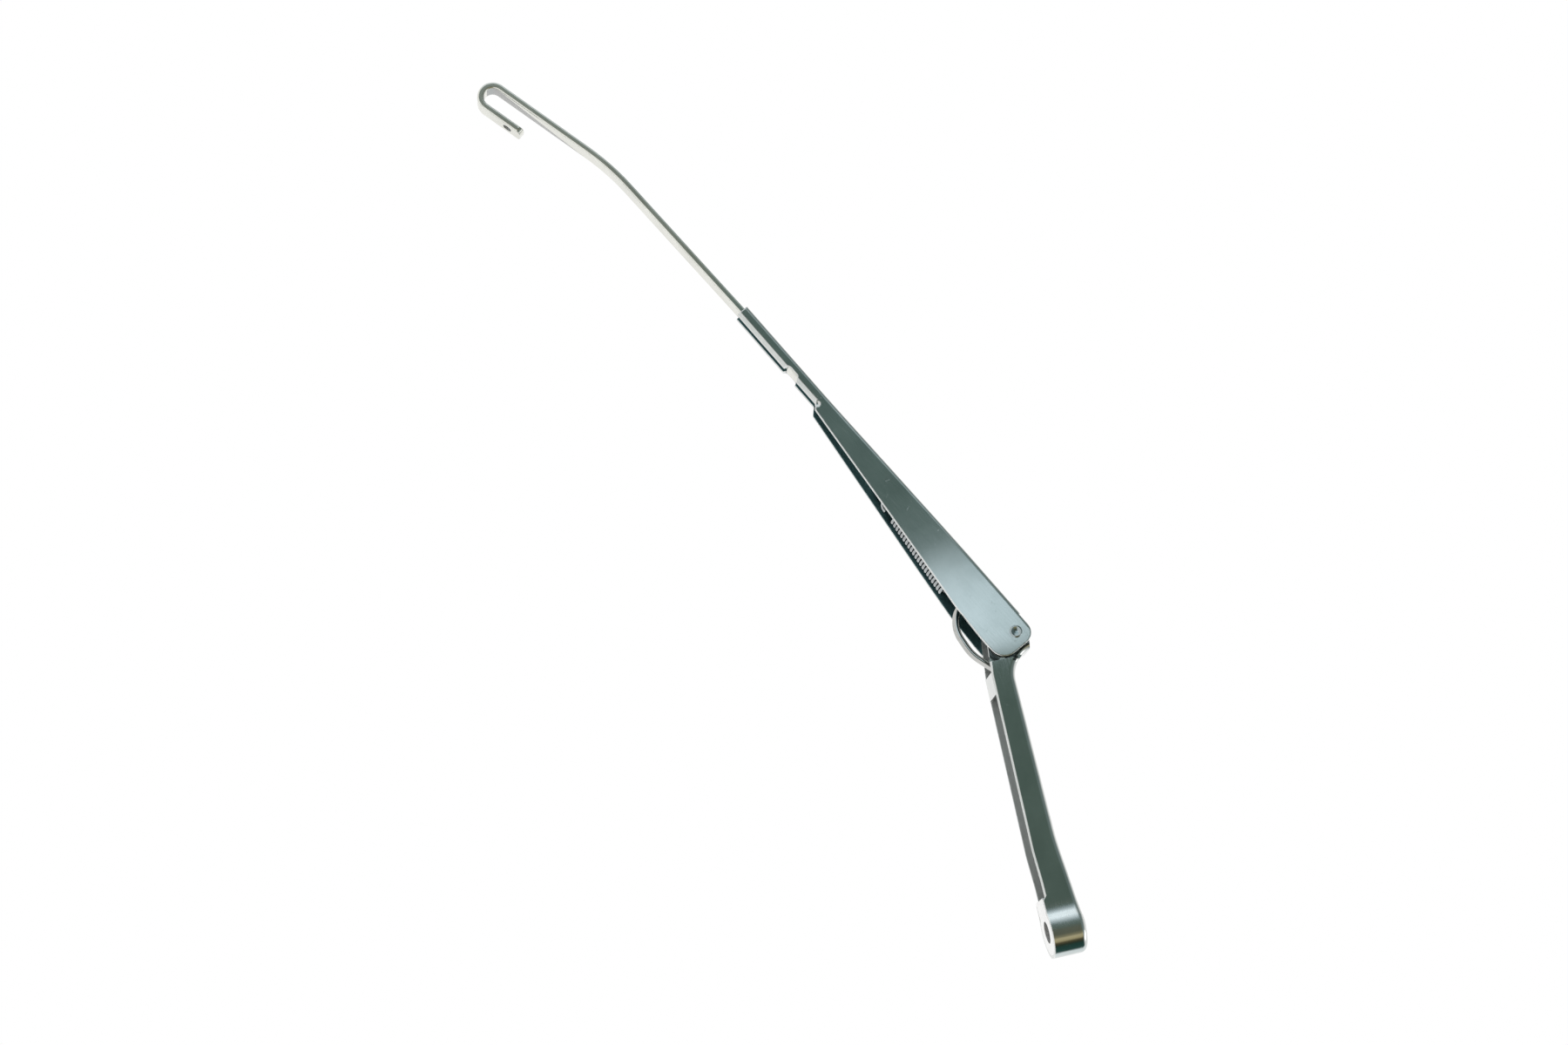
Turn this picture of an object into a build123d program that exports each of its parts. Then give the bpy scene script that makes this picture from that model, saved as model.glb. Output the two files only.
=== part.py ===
from build123d import *
import math
import os

# Frame: origin on the spindle axis at the underside of the head, +X towards the hook,
# +Z along the spindle away from the glass, +Y across the arm. Sizes in millimetres, angles in degrees.

# Mounting head
head_half_width = 9.5
head_sheet = 1.3
head_corner_radius = 3.0
skirt_edge_radius = 0.9
boss_radius = 12.0
boss_blend_radius = 11.0
boss_top = 16.0
boss_flat_end = 5.0
web_top = 13.2
web_slope_end = 39.0
flange_start = 113.3
flange_radius = 14.0
flange_sweep = 73.0
skirt_step_x = 13.6
skirt_relief = 1.2
skirt_mid_x = 36.0
skirt_mid_z = 0.75
neck_x = 118.0
neck_z = 2.65
bridge_start = 109.4
bridge_end = 119.4
ear_half_width = 8.75
ear_corner_radius = 2.6
ear_radius = 5.8
ear_toe_x = 136.0
ear_toe_z = 4.7
ear_toe_radius = 4.0
joggle_x = 124.4
joggle_overlap = 1.3
joggle_taper = 12.0

# Hinge and rest angle
hinge_x = 135.35
hinge_z = 18.2
rest_pitch = 27.5
rivet_radius = 2.1
rivet_head_radius = 2.95
rivet_head_height = 1.15
rivet_dish_radius = 2.25
rivet_dish_depth = 0.75
rivet_play = 0.05
rivet_seat_play = 0.02

# Spindle insert
insert_play = 0.1
insert_plate = 3.0
insert_front = 14.6
insert_collar_radius = 8.0
spigot_radius = 6.4
spigot_play = 0.05
stake_radius = 7.3
stake_height = 0.7
bore_radius = 5.0
bore_depth = 10.0
thread_hole_radius = 3.6

# Link pin, measured from the hinge
link_pin_back = 11.5
link_pin_below = 8.9
link_pin_radius = 1.5
link_pin_recess = 0.03
link_pin_play = 0.02

# Spring channel, measured from the hinge along the channel
channel_half_width = 10.3
channel_sheet = 1.4
channel_corner_radius = 1.9
channel_end = 196.6
channel_back = 7.0
web_height = 7.5
web_cutback = 5.1
cheek_height = 6.6
cheek_top_radius = 6.2
cheek_foot_radius = 7.6
cheek_foot = 14.4
wall_break = 26.0
wall_break_depth = 13.6
wall_break_radius = 40.0
wall_end = 138.5
wall_end_depth = 1.0
taper_start = 48.0
taper_blend_radius = 500.0

# Crimp on the bar
crimp_half_width = 5.9
crimp_start = 141.2
crimp_radius = 1.7
crimp_side_play = 0.05
crimp_lip_play = 0.05
lip_gap = 4.4
notch_start = 154.8
notch_end = 163.4
notch_radius = 2.4
notch_rise = 0.5
dimple_along = 140.2
dimple_height = 1.6
dimple_radius = 2.4
dimple_depth = 0.5

# Flat bar and hook
bar_width = 9.0
bar_thick = 3.0
bar_edge_radius = 0.8
tang_bend = 138.0
tang_bend_radius = 30.0
bar_kink_radius = 60.0
bar_bend_along = 290.8
bar_bend_height = 2.8
bar_bend_radius = 120.0
hook_pitch = 13.8
hook_reach = 64.0
hook_inner_radius = 4.3
hook_leg = 21.4
hook_hole_radius = 2.3
hook_hole_from_tip = 7.6
hook_tip_radius = 3.2

# Spring anchor on the bar's tang
anchor_along = 86.5
anchor_drop = 1.72
anchor_hole_radius = 1.6
anchor_slot = 2.4
tang_end = 6.4
tang_width = 6.4
tang_narrow_from = 14.0
tang_tip_radius = 1.5

# Tension spring
spring_wire = 1.6
spring_coil_radius = 4.0
spring_coils = 21
spring_start = 41.6
spring_finish = 82.6
loop_gap = 0.3
anchor_slack = 0.1

# Spring link
link_wire = 3.3
link_pin_gap = 0.3
link_bow = 8.5
link_cross = 32.2
link_leg_lean = 65.7
link_near_radius = 20.0
link_far_radius = 14.3
link_hook_rise = 1.4
link_hook_back = 2.2
link_hook_turn = 55.0
link_hook_radius = 2.2
link_wrap_start = 60.0
link_wrap_leave = 114.0

# Layout worked out from the sizes above
hinge = Location((hinge_x, 0, hinge_z))
arm_place = Location((hinge_x, 0, hinge_z), (0, rest_pitch, 0))
pin_x = hinge_x - link_pin_back
pin_z = hinge_z - link_pin_below
pitch_cos = math.cos(math.radians(rest_pitch))
pitch_sin = math.sin(math.radians(rest_pitch))
anchor_x = hinge_x + anchor_along * pitch_cos - anchor_drop * pitch_sin
anchor_z = hinge_z - anchor_along * pitch_sin - anchor_drop * pitch_cos
axis_length = math.hypot(anchor_x - pin_x, anchor_z - pin_z)
axis_pitch = math.degrees(math.atan2(pin_z - anchor_z, anchor_x - pin_x))
spring_place = Location((pin_x, 0, pin_z), (0, axis_pitch, 0))
web_under = web_height - channel_sheet
bar_centre = web_under - bar_thick / 2
lip_top = web_under - bar_thick - crimp_lip_play
crimp_foot = lip_top - channel_sheet


def rounded(points, corners):
    """Flat face from a polygon, with a radius on each listed corner."""
    face = make_face(Polyline(*points, close=True))
    for corner, radius in corners:
        near = face.vertices().sort_by_distance(Vector(corner[0], corner[1], 0))[0]
        face = fillet(near, radius)
    return face


def slab(face, half):
    """Solid of a side view, the same distance to both sides of the middle plane."""
    return extrude(Plane.XZ * face, amount=half, both=True)


def across(x, z, radius, half):
    """Round bar across the arm."""
    return Pos(x, 0, z) * Rot(90, 0, 0) * Cylinder(radius, 2 * half)


def upper_edges(solid, low, start, finish):
    """Long edges of a pressed piece where its web turns into its walls."""
    picked = []
    for edge in solid.edges():
        head = edge.start_point()
        tail = edge.end_point()
        middle = edge.position_at(0.5)
        upright = math.hypot(head.X - tail.X, head.Y - tail.Y) < 0.01 and abs(head.Z - tail.Z) > 0.01
        crossing = abs(head.X - tail.X) < 0.01 and abs(head.Z - tail.Z) < 0.01 and abs(middle.Y) < 1.0
        if middle.Z > low and start < middle.X < finish and not upright and not crossing:
            picked.append(edge)
    return picked


def head_side(sheet):
    """Side view of the head up to its web, brought in by a sheet thickness."""
    turn = math.radians(flange_sweep)
    turn_radius = flange_radius + sheet
    lip = (
        flange_start + turn_radius * math.sin(turn),
        web_top + flange_radius - turn_radius * math.cos(turn),
    )
    half_turn = turn / 2
    belly = (
        flange_start + turn_radius * math.sin(half_turn),
        web_top + flange_radius - turn_radius * math.cos(half_turn),
    )
    return lip, belly


# Mounting head: outer form from its side view and its plan
lip_out, belly_out = head_side(0)
lip_in, belly_in = head_side(head_sheet)
ear_front = hinge_x + ear_radius
outer_line = (
    Polyline(
        (flange_start, web_top),
        (web_slope_end, web_top),
        (boss_flat_end, boss_top),
        (-boss_radius - 1, boss_top),
        (-boss_radius - 1, 0),
        (skirt_step_x, 0),
        (skirt_step_x + skirt_relief, skirt_relief),
        (skirt_step_x + 8, skirt_relief),
        (skirt_mid_x, skirt_mid_z),
        (neck_x, neck_z),
        (ear_toe_x, ear_toe_z),
        (ear_front, ear_toe_z + 1.5),
        (ear_front, hinge_z),
    )
    + ThreePointArc(
        (ear_front, hinge_z),
        (hinge_x + ear_radius * math.sqrt(0.5), hinge_z + ear_radius * math.sqrt(0.5)),
        (hinge_x, hinge_z + ear_radius),
    )
    + Line((hinge_x, hinge_z + ear_radius), lip_out)
    + ThreePointArc(lip_out, belly_out, (flange_start, web_top))
)
head_profile = make_face(outer_line)
for corner, radius in (
    ((web_slope_end, web_top), 120.0),
    ((boss_flat_end, boss_top), 60.0),
    ((ear_front, ear_toe_z + 1.5), 5.0),
    ((ear_toe_x, ear_toe_z), ear_toe_radius),
):
    near = head_profile.vertices().sort_by_distance(Vector(corner[0], corner[1], 0))[0]
    head_profile = fillet(near, radius)


def head_plan(inset):
    """Plan of the head: straight sides that swell into the round spindle end."""
    length = hinge_x + 20
    sides = Pos(length / 2, 0) * Rectangle(length, 2 * (head_half_width - inset))
    plan = sides + Circle(boss_radius - inset)
    for side in (1, -1):
        join = math.sqrt(boss_radius**2 - head_half_width**2)
        target = Vector(join, side * (head_half_width - inset), 0)
        near = plan.vertices().sort_by_distance(target)[0]
        plan = fillet(near, boss_blend_radius + inset)
    return plan


head_outer = slab(head_profile, boss_radius + 2) & (Pos(0, 0, -5) * extrude(head_plan(0), amount=45))
head_outer = fillet(upper_edges(head_outer, web_top - 0.5, -20, lip_out[0] - 0.5), head_corner_radius)

inner_line = (
    Polyline(
        (flange_start, web_top - head_sheet),
        (web_slope_end - 1, web_top - head_sheet),
        (boss_flat_end - 1, boss_top - head_sheet),
        (-boss_radius - 1, boss_top - head_sheet),
        (-boss_radius - 1, -6),
        (hinge_x + 18, -6),
        (hinge_x + 18, hinge_z + 18),
        (lip_in[0] + 6.0 * (lip_out[0] - lip_in[0]), lip_in[1] + 6.0 * (lip_out[1] - lip_in[1])),
        lip_in,
    )
    + ThreePointArc(lip_in, belly_in, (flange_start, web_top - head_sheet))
)
inner_profile = make_face(inner_line)
for corner, radius in (
    ((web_slope_end - 1, web_top - head_sheet), 120.0),
    ((boss_flat_end - 1, boss_top - head_sheet), 60.0),
):
    near = inner_profile.vertices().sort_by_distance(Vector(corner[0], corner[1], 0))[0]
    inner_profile = fillet(near, radius)
head_void = slab(inner_profile, boss_radius + 2) & (
    Pos(0, 0, -8) * extrude(head_plan(head_sheet), amount=60)
)
inner_edges = upper_edges(head_void, web_top - head_sheet - 0.5, -20, lip_in[0] - 0.5)
head_void = fillet(inner_edges, head_corner_radius - head_sheet)
skirt_edges = []
for edge in head_outer.edges():
    middle = edge.position_at(0.5)
    flat_run = abs(edge.start_point().Z - edge.end_point().Z) < 3 and middle.Z < neck_z + 0.5
    if flat_run and abs(middle.Y) > head_half_width - 0.1 and skirt_mid_x - 10 < middle.X < neck_x + 8:
        skirt_edges.append(edge)
head_outer = fillet(skirt_edges, skirt_edge_radius)
mounting_head = head_outer - head_void

# Hinge ears: the head's walls step inwards around the hinge to run inside the channel


def joggle_face(start):
    """Side view of the stepped-in part of a wall, from a straight fold line onwards."""
    return Pos(start + 30, hinge_z) * Rectangle(60, 90)


flange_middle = (flange_start, web_top + flange_radius)
neck_outer = slab(head_profile, ear_half_width)
flange_edges = []
for edge in neck_outer.edges():
    middle = edge.position_at(0.5)
    off_arc = math.hypot(middle.X - flange_middle[0], middle.Z - flange_middle[1]) - flange_radius
    if abs(off_arc) < 0.05 and abs(middle.Y) > ear_half_width - 0.1 and middle.X > flange_start + 1:
        flange_edges.append(edge)
neck_outer = fillet(flange_edges, ear_corner_radius)
ear_profile = head_profile & joggle_face(joggle_x - joggle_overlap)
for side in (1, -1):
    wall_plane = Plane((0, side * ear_half_width, 0), x_dir=(1, 0, 0), z_dir=(0, side, 0))
    flat = joggle_face(joggle_x) if side < 0 else mirror(joggle_face(joggle_x), Plane.XZ)
    step_cut = extrude(wall_plane * flat, amount=2.5, taper=-joggle_taper)
    mounting_head = mounting_head - step_cut
    ear_middle = side * (ear_half_width - head_sheet / 2)
    ear = Pos(0, ear_middle, 0) * slab(ear_profile, head_sheet / 2)
    mounting_head = mounting_head + ear
mounting_head = mounting_head - (slab(joggle_face(joggle_x), ear_half_width) - neck_outer)

# Bridge under the neck that ties the two skirts together
skirt_slope = (neck_z - skirt_mid_z) / (neck_x - skirt_mid_x)
bridge_low = neck_z - (neck_x - bridge_start) * skirt_slope
bridge_high = neck_z + (bridge_end - neck_x) * skirt_slope
bridge_face = make_face(
    Polyline(
        (bridge_start, bridge_low),
        (bridge_end, bridge_high),
        (bridge_end, bridge_high + head_sheet),
        (bridge_start, bridge_low + head_sheet),
        close=True,
    )
)
mounting_head = mounting_head + slab(bridge_face, head_half_width - head_sheet / 2)
mounting_head = mounting_head - across(hinge_x, hinge_z, rivet_radius + rivet_play, 20)
mounting_head = mounting_head - across(pin_x, pin_z, link_pin_radius + link_pin_play, ear_half_width)
mounting_head = mounting_head - Pos(0, 0, boss_top) * Cylinder(spigot_radius + spigot_play, 8)

# Spindle insert: plate and collar inside the round end, staked over the web
plate_radius = boss_radius - head_sheet - insert_play
plate_half = head_half_width - head_sheet - insert_play
plate_plan = Circle(plate_radius) + Pos(insert_front / 2, 0) * Rectangle(insert_front, 2 * plate_half)
insert_top = boss_top - head_sheet
stake_top = boss_top + stake_height
spindle_insert = extrude(plate_plan, amount=insert_plate)
spindle_insert = spindle_insert + Pos(0, 0, insert_top / 2) * Cylinder(insert_collar_radius, insert_top)
spindle_insert = spindle_insert & head_void
spindle_insert = spindle_insert + Pos(0, 0, stake_top / 2) * Cylinder(spigot_radius, stake_top)
stake = Pos(0, 0, boss_top + stake_height / 2) * Cylinder(stake_radius, stake_height)
stake = chamfer(stake.edges().sort_by(Axis.Z)[-1], 0.4)
spindle_insert = spindle_insert + stake
bore = Pos(0, 0, bore_depth / 2) * Cylinder(bore_radius, bore_depth)
thread_hole = Pos(0, 0, stake_top / 2) * Cylinder(thread_hole_radius, stake_top + 2)
spindle_insert = spindle_insert - bore - thread_hole

# Link pin across the neck
link_pin = across(pin_x, pin_z, link_pin_radius, ear_half_width - link_pin_recess)

# Spring channel, built along its own length and then laid at the rest angle
channel_profile = rounded(
    [
        (channel_end, web_height),
        (web_cutback, web_height),
        (web_cutback, cheek_height),
        (-channel_back, cheek_height),
        (-channel_back, -cheek_foot),
        (8.0, -cheek_foot),
        (wall_break, -wall_break_depth),
        (wall_end, -wall_end_depth),
        (crimp_start, crimp_foot),
        (channel_end, crimp_foot),
    ],
    [
        ((-channel_back, cheek_height), cheek_top_radius),
        ((-channel_back, -cheek_foot), cheek_foot_radius),
        ((wall_break, -wall_break_depth), wall_break_radius),
        ((wall_end, -wall_end_depth), 1.2),
        ((crimp_start, crimp_foot), 1.5),
    ],
)


def channel_plan(inset):
    """Plan of the channel: parallel at the hinge, then tapering to the crimp."""
    wide = channel_half_width - inset
    thin = crimp_half_width - inset
    right = [(-12, wide), (taper_start, wide), (wall_end, thin), (channel_end + 20, thin)]
    left = [(x, -y) for x, y in reversed(right)]
    rounds = []
    for side in (1, -1):
        rounds.append(((taper_start, side * wide), taper_blend_radius))
        rounds.append(((wall_end, side * thin), taper_blend_radius * 0.6))
    return rounded(right + left, rounds)


channel_outer = slab(channel_profile, channel_half_width + 2) & (
    Pos(0, 0, -40) * extrude(channel_plan(0), amount=80)
)
channel_outer = fillet(upper_edges(channel_outer, web_height - 0.1, 0, 250), channel_corner_radius)
crimp_length = channel_end - crimp_start + 30
for side in (1, -1):
    corner_middle = (side * (crimp_half_width - crimp_radius), crimp_foot + crimp_radius)
    corner_waste = Pos(side * (crimp_half_width + 1), crimp_foot - 1) * Rectangle(
        2 * (crimp_radius + 1), 2 * (crimp_radius + 1)
    )
    corner_waste = corner_waste - Pos(*corner_middle) * Circle(crimp_radius)
    corner_waste = extrude(Plane.YZ * corner_waste, amount=crimp_length)
    channel_outer = channel_outer - Pos(crimp_start + 0.5, 0, 0) * corner_waste

open_part = make_face(
    Polyline(
        (-20, -30),
        (crimp_start - 0.6, -30),
        (crimp_start - 0.6, web_under),
        (web_cutback, web_under),
        (web_cutback, web_height + 1),
        (-20, web_height + 1),
        close=True,
    )
)
channel_void = slab(open_part, channel_half_width + 2) & (
    Pos(0, 0, -40) * extrude(channel_plan(channel_sheet), amount=80)
)
bar_room = Box(crimp_length, bar_width + 2 * crimp_side_play, web_under - lip_top)
bar_room = Pos(crimp_start + crimp_length / 2 - 2, 0, (web_under + lip_top) / 2) * bar_room
lip_slot = Pos(crimp_start + crimp_length / 2 - 2, 0, lip_top - 5) * Box(crimp_length, lip_gap, 11)
notch_face = rounded(
    [
        (notch_start, crimp_foot - 6),
        (notch_end, crimp_foot - 6),
        (notch_end, lip_top + notch_rise),
        (notch_start, lip_top + notch_rise),
    ],
    [
        ((notch_end, lip_top + notch_rise), notch_radius),
        ((notch_start, lip_top + notch_rise), notch_radius),
    ],
)
spring_channel = channel_outer - channel_void - bar_room - lip_slot
spring_channel = spring_channel - slab(notch_face, crimp_half_width + 3)
spring_channel = spring_channel - across(0, 0, rivet_radius + rivet_seat_play, 20)
for side in (1, -1):
    dimple_y = side * (crimp_half_width + dimple_radius - dimple_depth)
    spring_channel = spring_channel - Pos(dimple_along, dimple_y, dimple_height) * Sphere(dimple_radius)
spring_channel = arm_place * spring_channel

# Hinge rivet with a domed head on each side
rivet_seat = channel_half_width
dome_radius = (rivet_head_radius**2 + rivet_head_height**2) / (2 * rivet_head_height)
hinge_rivet = across(0, 0, rivet_radius, rivet_seat + rivet_head_height / 4)
dome = Pos(0, 0, rivet_seat + rivet_head_height - dome_radius) * Sphere(dome_radius)
dome = dome & Pos(0, 0, rivet_seat + dome_radius) * Box(20, 20, 2 * dome_radius)
dish_rim = rivet_seat + rivet_head_height - dome_radius + math.sqrt(dome_radius**2 - rivet_dish_radius**2)
dish_sphere = (rivet_dish_radius**2 + rivet_dish_depth**2) / (2 * rivet_dish_depth)
dish = Pos(0, 0, dish_rim - rivet_dish_depth + dish_sphere) * Sphere(dish_sphere)
for turn in (90, -90):
    hinge_rivet = hinge_rivet + Rot(turn, 0, 0) * dome - Rot(turn, 0, 0) * dish
hinge_rivet = hinge * hinge_rivet

# Flat bar: tang, straight run through the crimp, gentle bend, hook
anchor_point = Vector(anchor_along, -anchor_drop)
tang_start = Vector(tang_bend, bar_centre)
tang_way = (tang_start - anchor_point).normalized()
tang_tip = anchor_point - tang_way * tang_end
hook_way = Vector(math.cos(math.radians(hook_pitch)), -math.sin(math.radians(hook_pitch)))
hook_down = Vector(-math.sin(math.radians(hook_pitch)), -math.cos(math.radians(hook_pitch)))
bend_point = Vector(bar_bend_along, bar_bend_height)
hook_start = bend_point + hook_way * hook_reach
hook_mean = hook_inner_radius + bar_thick / 2
hook_crown = hook_start + hook_way * hook_mean + hook_down * hook_mean
hook_return = hook_start + hook_down * (2 * hook_mean)
hook_tip = hook_return - hook_way * hook_leg
run = FilletPolyline(
    (tang_tip.X, tang_tip.Y),
    (tang_start.X, tang_start.Y),
    (channel_end, bar_centre),
    (bend_point.X, bend_point.Y),
    (hook_start.X, hook_start.Y),
    radius=[tang_bend_radius, bar_kink_radius, bar_bend_radius],
)
bar_line = (
    run
    + ThreePointArc(
        (hook_start.X, hook_start.Y),
        (hook_crown.X, hook_crown.Y),
        (hook_return.X, hook_return.Y),
    )
    + Line((hook_return.X, hook_return.Y), (hook_tip.X, hook_tip.Y))
)
bar_path = Plane.XZ * bar_line
bar_plane = Plane(
    (tang_tip.X, 0, tang_tip.Y),
    x_dir=(0, 1, 0),
    z_dir=(tang_way.X, 0, tang_way.Y),
)
bar_section = bar_plane * RectangleRounded(bar_width, bar_thick, bar_edge_radius)
arm_bar = sweep(bar_section, path=bar_path)

# Rounded hook tip with its hole
tip_place = Plane(
    (hook_tip.X, 0, hook_tip.Y),
    x_dir=(hook_way.X, 0, hook_way.Y),
    z_dir=(-hook_down.X, 0, -hook_down.Y),
)
tip_blank = Pos(2, 0) * Rectangle(8, bar_width + 4)
tip_keep = Pos(8, 0) * RectangleRounded(16, bar_width, hook_tip_radius)
tip_waste = extrude(tip_place * (tip_blank - tip_keep), amount=bar_thick, both=True)
arm_bar = arm_bar - tip_waste
hole_place = tip_place * Pos(hook_hole_from_tip, 0, 0)
arm_bar = arm_bar - hole_place * Cylinder(hook_hole_radius, 2 * bar_thick)

# Narrow tang with the slot for the spring's loop
tang_place = Plane(
    (tang_tip.X, 0, tang_tip.Y),
    x_dir=(tang_way.X, 0, tang_way.Y),
    z_dir=(-tang_way.Y, 0, tang_way.X),
)
tang_blank = Pos(tang_narrow_from / 2 - 2, 0) * Rectangle(tang_narrow_from + 4, bar_width + 4)
tang_keep = make_face(
    Polyline(
        (0, -tang_width / 2),
        (tang_narrow_from - 4, -tang_width / 2),
        (tang_narrow_from + 1, -bar_width / 2),
        (tang_narrow_from + 6, -bar_width / 2),
        (tang_narrow_from + 6, bar_width / 2),
        (tang_narrow_from + 1, bar_width / 2),
        (tang_narrow_from - 4, tang_width / 2),
        (0, tang_width / 2),
        close=True,
    )
)
for side in (1, -1):
    near = tang_keep.vertices().sort_by_distance(Vector(0, side * tang_width / 2, 0))[0]
    tang_keep = fillet(near, tang_tip_radius)
tang_waste = extrude(tang_place * (tang_blank - tang_keep), amount=bar_thick, both=True)
arm_bar = arm_bar - tang_waste
anchor_face = Pos(tang_end - anchor_slot / 2, 0) * SlotCenterToCenter(anchor_slot, 2 * anchor_hole_radius)
arm_bar = arm_bar - extrude(tang_place * anchor_face, amount=bar_thick, both=True)
arm_bar = arm_place * arm_bar

# Tension spring along the line from the link pin to the anchor, one wire from loop to loop
wire_radius = spring_wire / 2
coil = spring_coil_radius
far_bow = axis_length - anchor_slack
far_centre = far_bow - coil
leg_lean = math.radians(link_leg_lean)
near_bow = link_cross - (link_wire / 2 + wire_radius + loop_gap) / math.sin(leg_lean)
near_centre = near_bow + coil
coil_pitch = (spring_finish - spring_start) / spring_coils
wire_points = []
for angle in (-70, -35, 0, 35, 70):
    turn = math.radians(angle)
    wire_points.append((near_centre - coil * math.cos(turn), coil * math.sin(turn), 0))
wire_points.append((near_centre + 0.3 * coil, coil, -0.05 * coil))
wire_points.append((spring_start - 0.3 * coil, coil, -0.18 * coil))
steps_per_turn = 10
for step in range(int((spring_coils + 0.25) * steps_per_turn) + 1):
    turn = 2 * math.pi * step / steps_per_turn
    along = spring_start + coil_pitch * step / steps_per_turn
    wire_points.append((along, coil * math.cos(turn), coil * math.sin(turn)))
for angle in (75, 45, 15, -15, -45, -75, -105):
    turn = math.radians(angle)
    wire_points.append((far_centre + coil * math.cos(turn), 0, coil * math.sin(turn)))
spring_path = Polyline(*wire_points)
spring_plane = Plane(spring_path.position_at(0), z_dir=spring_path.tangent_at(0))
spring_section = spring_plane * RegularPolygon(wire_radius, 6)
tension_spring = spring_place * sweep(spring_section, path=spring_path, transition=Transition.RIGHT)

# Spring link: round wire hooked round the link pin and through the spring's near loop
link_radius = link_wire / 2
wrap_radius = link_pin_radius + link_pin_gap + link_radius
wrap_start = math.radians(link_wrap_start)
wrap_leave = math.radians(link_wrap_leave)
leave_x = wrap_radius * math.cos(wrap_leave)
leave_z = -wrap_radius * math.sin(wrap_leave)
bow_start = leave_x + (link_bow + leave_z) / math.tan(wrap_leave - math.pi / 2)
hook_lean = math.radians(link_leg_lean + link_hook_turn)
hook_x = link_cross + link_hook_rise * math.cos(leg_lean)
hook_z = link_hook_rise * math.sin(leg_lean)
link_line = ThreePointArc(
    (wrap_radius * math.cos(wrap_start), wrap_radius * math.sin(wrap_start)),
    (-wrap_radius, 0),
    (leave_x, leave_z),
)
link_line = link_line + FilletPolyline(
    (leave_x, leave_z),
    (bow_start, -link_bow),
    (link_cross - link_bow / math.tan(leg_lean), -link_bow),
    (hook_x, hook_z),
    (hook_x + link_hook_back * math.cos(hook_lean), hook_z + link_hook_back * math.sin(hook_lean)),
    radius=[link_near_radius, link_far_radius, link_hook_radius],
)
link_path = Plane.XZ * link_line
link_plane = Plane(link_path.position_at(0), z_dir=link_path.tangent_at(0))
spring_link = spring_place * sweep(link_plane * Circle(link_radius), path=link_path)

os.makedirs("parts", exist_ok=True)
export_step(mounting_head, "parts/mounting_head.step")
export_step(spindle_insert, "parts/spindle_insert.step")
export_step(link_pin, "parts/link_pin.step")
export_step(spring_channel, "parts/spring_channel.step")
export_step(hinge_rivet, "parts/hinge_rivet.step")
export_step(arm_bar, "parts/arm_bar.step")
export_step(tension_spring, "parts/tension_spring.step")
export_step(spring_link, "parts/spring_link.step")
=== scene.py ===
import bpy
import bmesh
import math
from mathutils import Matrix, Vector
from mathutils.bvhtree import BVHTree


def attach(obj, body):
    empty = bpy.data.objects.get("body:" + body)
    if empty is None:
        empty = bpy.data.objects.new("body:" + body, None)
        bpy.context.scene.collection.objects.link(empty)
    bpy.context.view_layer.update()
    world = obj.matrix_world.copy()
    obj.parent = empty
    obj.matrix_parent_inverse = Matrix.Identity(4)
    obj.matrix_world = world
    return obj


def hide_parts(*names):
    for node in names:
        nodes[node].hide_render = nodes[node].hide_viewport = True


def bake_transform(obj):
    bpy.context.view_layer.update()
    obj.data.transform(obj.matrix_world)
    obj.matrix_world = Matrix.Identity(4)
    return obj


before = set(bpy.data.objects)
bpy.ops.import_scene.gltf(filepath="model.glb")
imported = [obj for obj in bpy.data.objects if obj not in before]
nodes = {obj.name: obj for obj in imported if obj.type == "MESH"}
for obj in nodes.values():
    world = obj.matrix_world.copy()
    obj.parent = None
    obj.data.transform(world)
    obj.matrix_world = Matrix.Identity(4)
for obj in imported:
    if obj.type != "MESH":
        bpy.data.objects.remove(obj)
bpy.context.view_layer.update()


# Mounting head: one blank of satin stainless sheet, pressed to a channel that hugs the spindle at its
# round end and steps in at the neck to two ears. Its edges are painted brighter, a painted highlight.
def pressed_copy(node, name, crease):
    """The node's own form as one joined mesh, smooth over bends and crisp along sheared edges.

    The attribute named inner is 1 on faces that look at another wall of the same piece close by.
    """
    weld_distance = 2e-6
    start_lift = 0.0002
    wall_reach = 0.021
    sharpest_bend = math.radians(crease)
    mesh = nodes[node].data.copy()
    mesh.materials.clear()
    work = bmesh.new()
    work.from_mesh(mesh)
    bmesh.ops.remove_doubles(work, verts=work.verts, dist=weld_distance)
    for edge in work.edges:
        edge.smooth = len(edge.link_faces) == 2 and edge.calc_face_angle(0.0) < sharpest_bend
    inner = work.faces.layers.float.new("inner")
    walls = BVHTree.FromBMesh(work)
    for face in work.faces:
        face.smooth = True
        start = face.calc_center_median() + face.normal * start_lift
        face[inner] = 1.0 if walls.ray_cast(start, face.normal, wall_reach)[0] else 0.0
    work.to_mesh(mesh)
    work.free()
    mesh.update()
    piece = bpy.data.objects.new(name, mesh)
    bpy.context.scene.collection.objects.link(piece)
    level = piece.modifiers.new("level", "WEIGHTED_NORMAL")
    level.mode = "FACE_AREA"
    level.weight = 100
    level.keep_sharp = True
    bpy.context.view_layer.update()
    seen = piece.evaluated_get(bpy.context.evaluated_depsgraph_get())
    levelled = bpy.data.meshes.new_from_object(seen)
    piece.modifiers.clear()
    piece.data = levelled
    return piece


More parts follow.
